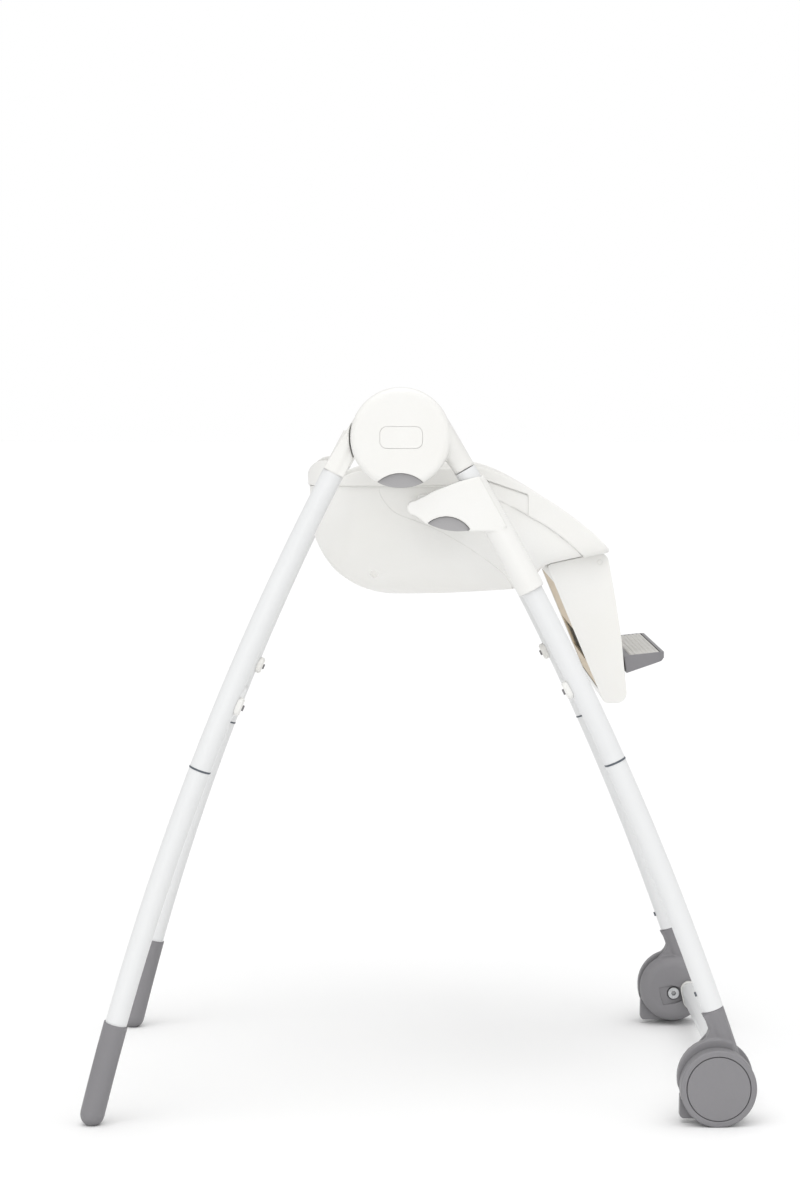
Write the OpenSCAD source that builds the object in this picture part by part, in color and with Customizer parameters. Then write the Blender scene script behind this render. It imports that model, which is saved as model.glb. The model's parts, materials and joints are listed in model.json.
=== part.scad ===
// Folding highchair seat base: two curved leg frames hinged at round hubs, a seat bucket that
// rides on the front tubes, a calf rest with a footrest, and braked castors on the front legs.
// +X is the front, +Y is the chair's left, +Z is up. The origin is on the floor, centred.

/* [Leg frames] */
// Distance of each leg's centre plane from the middle of the chair
leg_y = 265; // [240:1:290]
// Outer diameter of the steel leg tubes
tube_d = 25.4; // [22:0.1:30]
// Wall of the leg tubes
tube_wall = 1.2; // [1:0.1:2]
// Radius of the front legs' curve
front_r = 3535; // [3000:5:4200]
// Radius of the rear legs' curve
rear_r = 3317; // [3000:5:4200]
// Height of the collars where the lower legs plug in
collar_z = 418; // [380:1:460]
// Height of the rear crossbar
rear_bar_z = 457; // [440:1:480]

/* [Hub] */
// Height of the hub's pivot above the floor
hub_z = 797; // [780:1:820]
// Radius of the hub disc
hub_r = 58.4; // [54:0.2:64]
// Radius of the hub's pivot pin
pin_r = 8; // [6:0.5:10]
// Thickness of the moulded plastic walls
wall = 2.7; // [2:0.1:4]

/* [Seat] */
// Half of the seat's outer width
seat_y = 170; // [150:1:180]
// Thickness of the seat shell
seat_wall = 3; // [2:0.2:5]
// Radius of the bucket's bottom corners
bucket_r = 85; // [50:5:100]
// Radius of the slider sleeves on the front tubes
sleeve_r = 16; // [15:0.2:18]

/* [Calf rest and footrest] */
// Half of the calf rest's outer width
calf_y = 150; // [130:1:160]
// Half of the footrest's width
foot_plate_y = 146; // [120:1:150]
// Height of the footrest's upper face at the calf rest
foot_plate_z = 536; // [520:1:560]

/* [Castors] */
// Wheel radius
wheel_r = 44.4; // [40:0.2:50]
// Wheel width
wheel_w = 20; // [16:1:26]

/* [Show] */
// Which piece to draw

/* [Hidden] */

tube_r = tube_d / 2;
bore_r = tube_r - tube_wall;
gap = 0.3;
hub_x = -19;
// Centres of curvature of the legs
fc = [-2996, -1025];
rc = [2846, -774];
// Angle along each leg's curve at a height
function ft(z) = asin((z - fc[1]) / front_r);
function rt(z) = asin((z - rc[1]) / rear_r);
seam_f = ft(759.5);
seam_r = rt(756);
lock_f = ft(509);
lock_r = rt(490);

white = [0.95, 0.94, 0.92];
paint = [0.93, 0.94, 0.96];
grey = [0.50, 0.49, 0.50];
pale_grey = [0.68, 0.68, 0.69];
dark = [0.32, 0.34, 0.37];
steel = [0.75, 0.75, 0.76];
beige = [0.86, 0.82, 0.76];

// Shapes drawn for the left side, +Y, and mirrored for the right side
module other_side() { mirror([0, 1, 0]) children(); }
module both_sides() {
    children();
    other_side() children();
}
// An outline in X and Z, given thickness from y0 to y1
module plate(y0, y1) {
    translate([0, y1, 0]) rotate([90, 0, 0]) linear_extrude(y1 - y0) children();
}
module ycyl(x, z, r, y0, y1) {
    translate([x, y1, z]) rotate([90, 0, 0]) cylinder(r = r, h = y1 - y0, $fn = 64);
}
module front_arc(t0, t1, r) {
    translate([fc[0], leg_y, fc[1]]) rotate([90, 0, 0]) rotate([0, 0, t0])
        rotate_extrude(angle = t1 - t0, $fn = 720) translate([front_r, 0]) circle(r = r, $fn = 48);
}
module rear_arc(t0, t1, r) {
    translate([rc[0], leg_y, rc[1]]) mirror([1, 0, 0]) rotate([90, 0, 0]) rotate([0, 0, t0])
        rotate_extrude(angle = t1 - t0, $fn = 720) translate([rear_r, 0]) circle(r = r, $fn = 48);
}
// Local frame on a leg: +X away from the middle of the chair, +Z up the tube
module at_front(t) {
    translate([fc[0] + front_r * cos(t), leg_y, fc[1] + front_r * sin(t)])
        rotate([0, -t, 0]) children();
}
module at_rear(t) {
    translate([rc[0] - rear_r * cos(t), leg_y, rc[1] + rear_r * sin(t)])
        mirror([1, 0, 0]) rotate([0, -t, 0]) children();
}
// Points of an arc, for rounded corners of outlines
function arc(c, r, a0, a1, n) = [for (i = [0:n]) let (a = a0 + (a1 - a0) * i / n) c + r * [cos(a), sin(a)]];
module stadium(len, w) {
    square([len - w, w], center = true);
    for (i = [-1, 1]) translate([i * (len - w) / 2, 0]) circle(d = w, $fn = 48);
}

// ---- Hub ----
// Socket outline: a tangent edge from the hub disc to the tube, and a straight inner edge
module socket_outline(t, front, r) {
    c = front ? [fc[0] + front_r * cos(t), fc[1] + front_r * sin(t)]
        : [rc[0] - rear_r * cos(t), rc[1] + rear_r * sin(t)];
    n = front ? [cos(t), sin(t)] : [-cos(t), sin(t)];
    up = front ? [-sin(t), cos(t)] : [sin(t), cos(t)];
    polygon([[hub_x, hub_z] + r * n, c + tube_r * n, c - tube_r * n, c - tube_r * n + 40 * up,
        [hub_x, hub_z] + (r - 30) * n]);
}
// Disc with a rounded outer edge, axis along Y
module rounded_disc(r, y0, y1, edge) {
    translate([hub_x, y0, hub_z]) rotate([-90, 0, 0]) rotate_extrude($fn = 96) {
        square([r, y1 - y0 - edge]);
        square([r - edge, y1 - y0]);
        translate([r - edge, y1 - y0 - edge]) circle(r = edge, $fn = 48);
    }
}
fold_lens_z = 717.2;
fold_lens_r = 38.8;
hub_face = 295;
module hub_cover() {
    difference() {
        union() {
            rounded_disc(hub_r, 266.5, hub_face, 5);
            difference() {
                union() {
                    plate(254, 276.5) socket_outline(seam_f, true, hub_r - 0.4);
                    front_arc(seam_f, ft(795), tube_r);
                }
                ycyl(hub_x, hub_z, hub_r + 1.2, 250, 266.5);
            }
            front_arc(ft(725), seam_f, bore_r - 0.1);
        }
        difference() {
            ycyl(hub_x, hub_z, hub_r - wall, 260, hub_face - wall);
            ycyl(hub_x, hub_z, pin_r + 4, 266.5, hub_face);
            for (a = [100, 170, 350])
                rotate_hub(a) translate([44, 266.5, 0]) rotate([-90, 0, 0]) cylinder(r = 4.5, h = 30, $fn = 48);
        }
        ycyl(hub_x, hub_z, pin_r + 0.05, 260, hub_face - wall);
        for (a = [100, 170, 350])
            rotate_hub(a) translate([44, 260, 0]) rotate([-90, 0, 0]) cylinder(r = 2, h = 26, $fn = 32);
        plate(hub_face - wall - 1, hub_face + 1) fold_lens(fold_lens_z, fold_lens_r, 60);
        plate(266, hub_face - wall) fold_lens(fold_lens_z + 5, fold_lens_r + 3, 60);
        translate([33.5, 0, 771]) ycyl(0, 0, 2.2, 276.5 - 3, 278);
        plate(hub_face - 1, hub_face + 1) translate([hub_x + 0.5, hub_z]) badge_outline(0.3);
    }
}
module rotate_hub(a) { translate([hub_x, 0, hub_z]) rotate([0, -a, 0]) children(); }
module fold_lens(z, r, big) {
    intersection() {
        translate([hub_x - 0.6, z]) circle(r = r, $fn = 96);
        translate([hub_x, hub_z]) circle(r = big, $fn = 96);
    }
}
module badge_outline(extra) {
    w = 49 + 2 * extra;
    h = 25 + 2 * extra;
    r = 8;
    square([w - 2 * r, h], center = true);
    square([w, h - 2 * r], center = true);
    for (i = [-1, 1], j = [-1, 1])
        translate([i * (w / 2 - r), j * (h / 2 - r)]) circle(r = r, $fn = 48);
}
module badge() {
    plate(hub_face - 0.9, hub_face + 0.3) translate([hub_x + 0.5, hub_z]) badge_outline(0);
}
module hub_inner_plate() {
    difference() {
        union() {
            ycyl(hub_x, hub_z, hub_r - 1, 247.5, 251.5);
            ycyl(hub_x, hub_z, 18, 240, 250);
            for (a = [100, 170, 350])
                rotate_hub(a) translate([44, 244, 0]) rotate([-90, 0, 0]) cylinder(r = 5, h = 7.5, $fn = 48);
            plate(247.5, 251.5) socket_outline(ft(752), true, hub_r - 1);
        }
        ycyl(hub_x, hub_z, pin_r + 0.05, 238, 253);
        for (a = [100, 170, 350])
            rotate_hub(a) translate([44, 240, 0]) rotate([-90, 0, 0]) cylinder(r = 2.3, h = 20, $fn = 32);
    }
}
module pivot_pin() {
    difference() {
        union() {
            ycyl(hub_x, hub_z, pin_r, 236, hub_face - wall - 1);
            ycyl(hub_x, hub_z, pin_r + 4, 236, 239.8);
        }
        translate([hub_x, 238.5, hub_z]) rotate([90, 0, 0]) cylinder(r = 4.6, h = 6, $fn = 6);
    }
}
module hub_washer() {
    for (y = [251.6, 265.8]) difference() {
        ycyl(hub_x, hub_z, pin_r + 6, y, y + 0.6);
        ycyl(hub_x, hub_z, pin_r + 0.1, y - 1, y + 2);
    }
}
// Fold button: a crescent under the cover's face, with a stem that guides it upwards
module fold_button() {
    difference() {
        union() {
            plate(269, hub_face - wall - 0.4) fold_lens(fold_lens_z, fold_lens_r - 0.5, hub_r - 0.2);
            plate(272, 286) translate([hub_x - 7, 742]) square([14, 28]);
        }
        plate(267, 282) translate([hub_x - 21, 742]) square([12, 8]);
        plate(267, 282) translate([hub_x + 9, 742]) square([12, 8]);
        translate([hub_x, 279, 764]) cylinder(r = 3.6, h = 8, $fn = 48);
    }
}
// Return spring: a coil between the button's stem and the boss above it
module fold_spring() {
    translate([hub_x, 279, 764.6]) linear_extrude(19, twist = -360 * 5, slices = 80)
        translate([2.6, 0]) circle(r = 0.5, $fn = 8);
}
module hub_screw() {
    for (a = [100, 170, 350]) rotate_hub(a) translate([44, 0, 0]) rotate([-90, 0, 0]) {
        translate([0, 0, 242]) cylinder(r = 4, h = 1.8, $fn = 48);
        translate([0, 0, 243]) cylinder(r = 1.9, h = 40, $fn = 32);
    }
}
module rear_socket() {
    difference() {
        union() {
            ycyl(hub_x, hub_z, hub_r - 1.2, 252.5, 265.5);
            difference() {
                union() {
                    plate(254, 276.5) socket_outline(seam_r, false, hub_r - 0.4);
                    rear_arc(seam_r, rt(800), tube_r);
                }
                ycyl(hub_x, hub_z, hub_r + 1.6, 265.5, 280);
                ycyl(hub_x, hub_z, hub_r - 1.4, 240, 252.5);
            }
            rear_arc(rt(722), seam_r, bore_r - 0.1);
        }
        ycyl(hub_x, hub_z, pin_r + 0.08, 250, 270);
        for (a = [60, 130]) translate([hub_x, 258, hub_z]) rotate([-90, 0, 0])
            rotate([0, 0, a]) rotate_extrude(angle = 40, $fn = 96) translate([22, 0]) square([18, 9]);
        // arc slots that the hub's screws run in as the legs fold
        for (a = [100, 170, 350]) translate([hub_x, 251, hub_z]) rotate([-90, 0, 0])
            rotate([0, 0, -a - 3.9]) rotate_extrude(angle = 52.8, $fn = 96) translate([41.3, 0]) square([5.4, 16]);
        ycyl(hub_x, hub_z, 61, 249, 252.3);
    }
}

// ---- Tubes ----
module hollow_front(z0, z1, ro, ri) {
    difference() {
        front_arc(ft(z0), ft(z1), ro);
        front_arc(ft(z0 - 5), ft(z1 + 5), ri);
    }
}
module hollow_rear(z0, z1, ro, ri) {
    difference() {
        rear_arc(rt(z0), rt(z1), ro);
        rear_arc(rt(z0 - 5), rt(z1 + 5), ri);
    }
}
module lock_hole(r) { rotate([0, -90, 0]) cylinder(r = r, h = 16, $fn = 32); }
neck_r = 9.9;
module upper_tube_front() {
    difference() {
        hollow_front(collar_z + 2, 759, tube_r, bore_r);
        at_front(lock_f) lock_hole(3.3);
        at_front(ft(462)) translate([-14, 0, 0]) rotate([0, 90, 0]) cylinder(r = 1.6, h = 4, $fn = 24);
    }
}
module upper_tube_rear() {
    difference() {
        hollow_rear(collar_z - 5.5, 755.5, tube_r, bore_r);
        at_rear(lock_r) lock_hole(3.3);
        at_rear(rt(440)) translate([-14, 0, 0]) rotate([0, 90, 0]) cylinder(r = 1.6, h = 4, $fn = 24);
    }
}
// Bush between upper and lower tube, with a thin visible flange
module collar_front() {
    difference() {
        union() {
            front_arc(ft(collar_z), ft(collar_z + 1.9), tube_r + 0.5);
            front_arc(ft(collar_z + 1), ft(collar_z + 42), bore_r - 0.05);
        }
        front_arc(ft(collar_z - 5), ft(collar_z + 50), neck_r + 0.05);
    }
}
module collar_rear() {
    difference() {
        union() {
            rear_arc(rt(collar_z - 7.5), rt(collar_z - 5.6), tube_r + 0.5);
            rear_arc(rt(collar_z - 6.5), rt(collar_z + 36), bore_r - 0.05);
        }
        rear_arc(rt(collar_z - 12), rt(collar_z + 45), neck_r + 0.05);
    }
}
module lower_tube_front() {
    difference() {
        union() {
            front_arc(ft(131), ft(collar_z - 0.1), tube_r);
            front_arc(ft(collar_z - 5), ft(530), neck_r);
        }
        front_arc(ft(120), ft(collar_z - 4), bore_r);
        front_arc(ft(collar_z - 10), ft(540), neck_r - tube_wall);
        at_front(lock_f) lock_hole(3.2);
        at_front(ft(398)) translate([-14, 0, 0]) rotate([0, 90, 0]) cylinder(r = 1.8, h = 4, $fn = 24);
        at_front(ft(152)) translate([-16, 0, 0]) rotate([0, 90, 0]) cylinder(r = 2.85, h = 8, $fn = 32);
    }
}
module lower_tube_rear() {
    difference() {
        union() {
            rear_arc(rt(24), rt(collar_z - 7.6), tube_r);
            rear_arc(rt(collar_z - 12), rt(515), neck_r);
        }
        rear_arc(rt(15), rt(collar_z - 11), bore_r);
        rear_arc(rt(collar_z - 16), rt(525), neck_r - tube_wall);
        at_rear(lock_r) lock_hole(3.2);
        at_rear(rt(382)) translate([-14, 0, 0]) rotate([0, 90, 0]) cylinder(r = 1.8, h = 4, $fn = 24);
    }
}
// Housing of a leg's release button, saddled on the tube
module lock_housing() {
    difference() {
        union() {
            translate([-19, 0, 0]) rotate([0, 90, 0]) linear_extrude(11) stadium(19, 11);
            translate([-17.4, 0, 0]) rotate([0, 90, 0]) linear_extrude(8) stadium(22, 13.5);
        }
        cylinder(r = tube_r + 0.05, h = 60, center = true, $fn = 64);
        translate([-30, 0, 0]) rotate([0, 90, 0]) cylinder(r = 3.8, h = 30, $fn = 48);
    }
}
module lock_button() {
    translate([-21.2, 0, 0]) rotate([0, 90, 0]) cylinder(r = 3.5, h = 4.7, $fn = 48);
    translate([-17, 0, 0]) rotate([0, 90, 0]) cylinder(r = 2.8, h = 10, $fn = 48);
}
// Spring pin that holds the castor housing in the lower tube
module castor_pin() {
    at_front(ft(152)) translate([-14.6, 0, 0]) rotate([0, 90, 0]) cylinder(r = 2.8, h = 5, $fn = 32);
}
module rear_foot() {
    difference() {
        union() {
            rear_arc(rt(13), rt(117), 14.2);
            at_rear(rt(12.5)) sphere(r = 14, $fn = 64);
        }
        rear_arc(rt(22), rt(120), tube_r + 0.05);
        translate([-450, leg_y - 50, -40]) cube([150, 100, 40]);
    }
}
module oval_tube(l, w, h, t) {
    rotate([90, 0, 0]) linear_extrude(l, center = true) difference() {
        rotate(90) stadium(h, w);
        rotate(90) stadium(h - 2 * t, w - 2 * t);
    }
}
bar_x = rc[0] - rear_r * cos(rt(rear_bar_z));
module rear_bar() {
    difference() {
        translate([bar_x, 0, rear_bar_z]) rotate([0, -rt(rear_bar_z) - 4, 0])
            oval_tube(2 * (leg_y - 9), 16, 24, 1.4);
        both_sides() rear_arc(rt(400), rt(520), tube_r + 0.05);
        rivet_shanks(1.55, 4);
    }
}
module rivet_shanks(r, h) {
    both_sides() translate([bar_x, leg_y - 26, rear_bar_z]) rotate([0, -rt(rear_bar_z) - 4, 0])
        for (z = [-4.5, 4.5]) translate([-9, 0, z]) rotate([0, 90, 0]) cylinder(r = r, h = h, $fn = 24);
}
module rivets() {
    rivet_shanks(1.5, 4);
    both_sides() translate([bar_x, leg_y - 26, rear_bar_z]) rotate([0, -rt(rear_bar_z) - 4, 0])
        for (z = [-4.5, 4.5]) translate([-9.3, 0, z]) rotate([0, 90, 0]) cylinder(r = 3, h = 1.25, $fn = 32);
}

// ---- Castors ----
wheel_x = 348.3;
wheel_z = wheel_r;
dome = [348, 50];
fender = [347, 52.5];
// Inner cover of the castor: a dome with a rounded edge
module castor_dome() {
    translate([dome[0], 245, dome[1]]) rotate([-90, 0, 0]) rotate_extrude($fn = 96) intersection() {
        square([60, 17]);
        union() {
            square([30.2, 17]);
            translate([0, 14]) square([44.2, 3]);
            translate([30.2, 14]) circle(r = 14, $fn = 64);
        }
    }
}
module castor_housing() {
    difference() {
        union() {
            front_arc(ft(70), ft(130.2), tube_r);
            front_arc(ft(129), ft(170), bore_r - 0.05);
            castor_dome();
            plate(256, 276) polygon([[332, 124], [341, 109], [338, 101], [330, 92], [315, 75], [370, 70],
                [370, 85], [364, 108], [355, 128]]);
            // fender, trimmed in front so that it stays behind the wheel
            difference() {
                ycyl(fender[0], fender[1], 45, 262, 278.5);
                plate(260, 280) polygon([[360, 128], [368, 84], [379, 72], [387, 58], [388, 48], [388, -5],
                    [420, -5], [420, 128]]);
            }
            ycyl(wheel_x, wheel_z, 20, 250, 278.5);
        }
        // slot between the dome and the fender, and the space the brake lever moves in
        difference() {
            plate(262, 266) polygon([[280, 36], [280, 104], [335, 106], [342, 84], [340, 40]]);
            ycyl(wheel_x, wheel_z, 37, 250, 280);
        }
        difference() {
            plate(262.2, 280) polygon([[280, -5], [280, 41], [345, 41], [420, 36], [420, -5]]);
            ycyl(wheel_x, wheel_z, 20, 250, 280);
        }
        ycyl(wheel_x, wheel_z, 4.2, 240, 280);
        ycyl(wheel_x, wheel_z, 9, 240, 250);
        ycyl(336, 14, 2.55, 255, 263);
        at_front(ft(152)) translate([-16, 0, 0]) rotate([0, 90, 0]) cylinder(r = 2.85, h = 8, $fn = 32);
        translate([200, 240, -30]) cube([250, 60, 31]);
    }
}
module axle_bolt() {
    difference() {
        union() {
            ycyl(wheel_x, wheel_z, 4.1, 249.5, 294);
            ycyl(wheel_x, wheel_z, 7.5, 246, 249.9);
        }
        translate([wheel_x, 248.6, wheel_z]) rotate([90, 0, 0]) cylinder(r = 3.4, h = 6, $fn = 6);
    }
}
module brake_lever() {
    difference() {
        plate(263, 277.6) polygon([[305.5, 32], [305, 9], [308, 6], [342, 5.5], [347, 12], [340, 22],
            [322, 26], [314, 36], [309, 36]]);
        ycyl(336, 14, 2.6, 260, 280);
    }
}
module brake_pin() { ycyl(336, 14, 2.5, 255.5, 277.4); }
module wheel() {
    translate([wheel_x, 279.3, wheel_z]) rotate([-90, 0, 0]) difference() {
        rotate_extrude($fn = 96) difference() {
            union() {
                translate([4.25, 0]) square([wheel_r - 4.25, wheel_w - 2]);
                translate([4.25, 0]) square([wheel_r - 6.25, wheel_w]);
                translate([wheel_r - 2, wheel_w - 2]) circle(r = 2, $fn = 48);
            }
            translate([0, wheel_w - 3]) square([37.4, 4]);
            translate([14, 3]) square([21, wheel_w - 9]);
            translate([10, wheel_w - 5]) square([25.5, 6]);
        }
        for (a = [0:60:300]) rotate(a) translate([24, 0, -1]) cylinder(r = 5, h = 8, $fn = 32);
    }
}
module wheel_cap() {
    translate([wheel_x, 279.3 + wheel_w - 2.6, wheel_z]) rotate([-90, 0, 0])
        difference() {
            union() {
                cylinder(r = 36.6, h = 2.6, $fn = 96);
                cylinder(r = 9.8, h = 2, $fn = 48);
            }
            translate([0, 0, -1]) cylinder(r = 6, h = 1.6, $fn = 32);
        }
}
module front_bar() {
    translate([370, 0, 43]) rotate([0, -12, 0]) oval_tube(2 * 243.5, 19, 34, 1.5);
}
module bar_end_cap() {
    translate([370, 240.5, 43]) rotate([0, -12, 0]) rotate([90, 0, 0]) {
        linear_extrude(8, center = true) difference() {
            rotate(90) stadium(37, 22);
            rotate(90) stadium(34.1, 19.1);
        }
    }
}

// ---- Seat ----
bucket_c = [-21, 713];
bucket_back_r = 108.5;
seat_front = 231;
// Side outline of the seat body, shrunk by e
module seat_profile(e) {
    polygon(concat(arc(bucket_c, bucket_back_r - e, 180, 270, 20), [[42, 606 + e], [117, 611 + e],
        [136 - 0.5 * e, 617 + e], [153 - 0.6 * e, 642 + e], [200 - 0.2 * e, 652.5 + e],
        [224, 657.5 + e], [seat_front - e, 659], [seat_front - e, 790], [-129.5 + e, 790]]));
}
module cross_profile(e) {
    y = seat_y - e;
    r = bucket_r - e;
    z0 = 604.5 + e;
    polygon(concat(arc([r - y, z0 + r], r, 180, 270, 16), arc([y - r, z0 + r], r, 270, 360, 16),
        [[y, z0 + 200], [-y, z0 + 200]]));
}
module plan_profile(e) {
    r = 78 - e;
    x0 = -129.5 + e;
    y = seat_y - e;
    polygon(concat(arc([x0 + r, y - r], r, 90, 180, 14), arc([x0 + r, r - y], r, 180, 270, 14),
        [[seat_front + 20, -y], [seat_front + 20, y]]));
}
module seat_body(e) {
    intersection() {
        plate(-200, 200) seat_profile(e);
        rotate([90, 0, 90]) linear_extrude(800, center = true) cross_profile(e);
        translate([0, 0, 560]) linear_extrude(260) plan_profile(e);
    }
}
module seat_wall_between(out, inn) {
    difference() {
        seat_body(out);
        seat_body(inn);
    }
}
module below_rim() {
    polygon([[-200, 737], [60, 737], [116.5, 711], [134, 701], [158, 687], [182, 669],
        [200, 652.7], [200, 560], [-200, 560]]);
}
module below_seam() {
    polygon([[-200, 737], [-44, 737], [-44, 722], [-20, 703], [4, 694], [27, 684], [51, 670.5],
        [75, 655], [99, 637], [113, 621], [119, 600], [119, 560], [-200, 560]]);
}
module drain_hole() {
    translate([-45, 100, 628]) rotate([-50, 0, 0]) rotate([0, 40, 0]) cylinder(r = 4, h = 80, center = true, $fn = 32);
}
module seat_shell() {
    hinge_lugs();
    difference() {
        intersection() {
            seat_wall_between(0, seat_wall);
            union() {
                plate(-200, 200) offset_below_seam();
                plate(-130, 130) below_front();
                plate(-157.5, 157.5) intersection() {
                    below_front();
                    translate([200.3, 500]) square([100, 300]);
                }
            }
        }
        both_sides() drain_hole();
    }
}
module offset_below_seam() {
    polygon([[-200, 736.6], [-44.4, 736.6], [-44.4, 721.8], [-20.2, 702.6], [3.8, 693.6], [26.8, 683.6],
        [50.8, 670.1], [74.7, 654.6], [98.6, 636.8], [112.6, 621], [118.6, 600], [118.6, 560], [-200, 560]]);
}
module below_front() {
    polygon([[100, 560], [100, 700], [150, 680], [200, 662], [seat_front + 5, 668], [seat_front + 5, 560]]);
}
module side_cover() {
    difference() {
        intersection() {
            seat_wall_between(0, seat_wall);
            translate([-200, 130.3, 500]) cube([500, 100, 300]);
            plate(0, 200) difference() {
                translate([0, -0.3]) below_rim();
                below_seam();
            }
        }
    }
}
// Rim: a thicker moulding along the top of the back and down both arms, with a pocket in each arm
module seat_rim() {
    difference() {
        intersection() {
            seat_wall_between(-2.5, 4.5);
            plate(-200, 200) rim_outline();
        }
        both_sides() plate(seat_y - 0.5, seat_y + 10)
            polygon([[60, 733], [60, 748], [100, 738], [134, 724], [134, 702], [118, 711]]);
        translate([150, 10 - seat_y, 560]) cube([120, 2 * seat_y - 20, 260]);
    }
}
module rim_outline() {
    polygon([[-200, 767], [40, 767], [75, 761], [122.5, 742], [170, 713], [206, 686], [225, 668],
        [seat_front, 659.2], [seat_front + 20, 659.2], [seat_front + 20, 640], [200.2, 640], [200.2, 652.8],
        [182, 669.3], [158, 687.3], [134, 701.3], [116.5, 711.3], [60, 737.3], [-200, 737.3]]);
}
// Slider bracket: sleeve on the front tube, rounded cover shell and the beam to the seat
bracket_face = 281;
module bracket_outline(e) {
    polygon([[-4 + e, 708 + e], [-11 + e, 714], [-9 + e, 720 - e], [20, 735 - e], [47, 745.5 - e],
        [72 - e, 752 - e], [104 - e, 694 + e], [92, 688.5 + e], [63, 688.4 + e], [50, 688.8 + e],
        [37, 689.6 + e], [24, 692 + e], [10, 697 + e]]);
    translate([-3.5, 715]) circle(r = 8 - e, $fn = 48);
}
module height_lens(lift, r) {
    intersection() {
        translate([33.5, 671.5] + lift * [0.18, 0.98]) circle(r = r, $fn = 96);
        translate([48, 763]) circle(r = 75, $fn = 96);
    }
}
module slider_bracket() {
    difference() {
        union() {
            plate(252, bracket_face) bracket_outline(0);
            front_arc(ft(619), ft(745.5), sleeve_r);
            plate(seat_y + 0.4, 254) polygon([[-6, 709], [2, 726], [48, 734], [62, 700], [44, 694], [10, 700]]);
        }
        plate(256, bracket_face - wall) bracket_outline(wall);
        plate(seat_y + 4, 253) polygon([[-2, 711], [4, 723], [45, 731], [58, 702], [43, 698], [10, 704]]);
        plate(250, 258) polygon([[12, 706], [12, 722], [40, 728], [48, 706], [36, 702]]);
        front_arc(ft(600), ft(770), tube_r + gap);
        plate(bracket_face - wall - 1, bracket_face + 1) height_lens(0, 33.8);
        plate(257, bracket_face - wall) height_lens(3.5, 37);
    }
}
module height_button() {
    difference() {
        union() {
            plate(260, bracket_face - wall - 0.4) intersection() {
                height_lens(0, 33.3);
                translate([48, 763]) circle(r = 74.8, $fn = 96);
            }
            translate([36, 268, 696]) rotate([0, 10.4, 0]) translate([-6, -6, 0]) cube([12, 12, 24]);
        }
        translate([0, 0, 0]) plate(259, 274) polygon([[18, 694], [18, 700], [28, 700], [28, 692]]);
        plate(259, 274) polygon([[46, 692], [46, 700], [54, 698], [54, 691]]);
    }
}
module bracket_screw() {
    for (p = [[14, 714], [42, 720]])
        translate([p[0], seat_y - 2.6, p[1]]) rotate([90, 0, 0]) {
            translate([0, 0, 0.6]) cylinder(r = 4.5, h = 2.4, $fn = 32);
        }
}

// ---- Calf rest and footrest ----
calf_pivot = [221, 645];
module calf_outline(e) {
    polygon(concat(arc(calf_pivot, 10.8 - e, 8, 102.3, 10), arc([163.8, 638.5], 5 - e, 102.3, 202.5, 8),
        arc([230.8, 482.3], 7 - e, 202.5, 270, 6), arc([241.4, 487.2], 11.9 - e, 270, 365.7, 12),
        [[247.3 - e, 551.5], [239.9 - e, 600]]));
}
module calf_rest_shell() {
    difference() {
        plate(-calf_y, calf_y) calf_outline(0);
        // hollow, open towards the rear
        plate(-calf_y + 3, calf_y - 3) polygon([[173, 642.4], [219, 652.4], [228, 646], [236.8, 600],
            [244.2, 551.5], [250, 490], [247, 483], [241, 478.6], [232, 478.6], [215, 497], [145, 621],
            [166, 621], [173, 628]]);
        both_sides() plate(60, 72) polygon([[232, 500], [262, 500], [254, 596], [222, 596]]);
        both_sides() ycyl(calf_pivot[0], calf_pivot[1], 3.1, calf_y - 10, calf_y + 10);
        // room for the seat's hinge lugs
        both_sides() plate(136.5, 144.5) polygon([[212, 640], [212, 662], [240, 662], [240, 640]]);
    }
}
// Panel that closes the calf rest towards the rear, with a window for the footrest's carriers
module calf_rest_back() {
    difference() {
        plate(-calf_y + 3.2, calf_y - 3.2) polygon([[166.7, 620.6], [169.4, 620.6], [224.6, 487.3],
            [219.9, 492.1]]);
        plate(-120, 120) polygon([[150, 562], [230, 562], [230, 524], [180, 524]]);
        both_sides() plate(54, 78) polygon([[150, 604], [200, 604], [250, 497], [205, 497]]);
    }
}
module calf_hinge_pins() {
    both_sides() ycyl(calf_pivot[0], calf_pivot[1], 3, 136.8, calf_y - 0.2);
}
module hinge_lugs() {
    both_sides() difference() {
        union() {
            ycyl(calf_pivot[0], calf_pivot[1], 5.4, 138, 143);
            plate(138, 143) polygon([[216.5, 645], [225.5, 645], [225.5, 659.2], [216.5, 657.4]]);
        }
        ycyl(calf_pivot[0], calf_pivot[1], 3.02, 130, 150);
    }
}
slope = [-0.128, 0.992];
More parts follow.
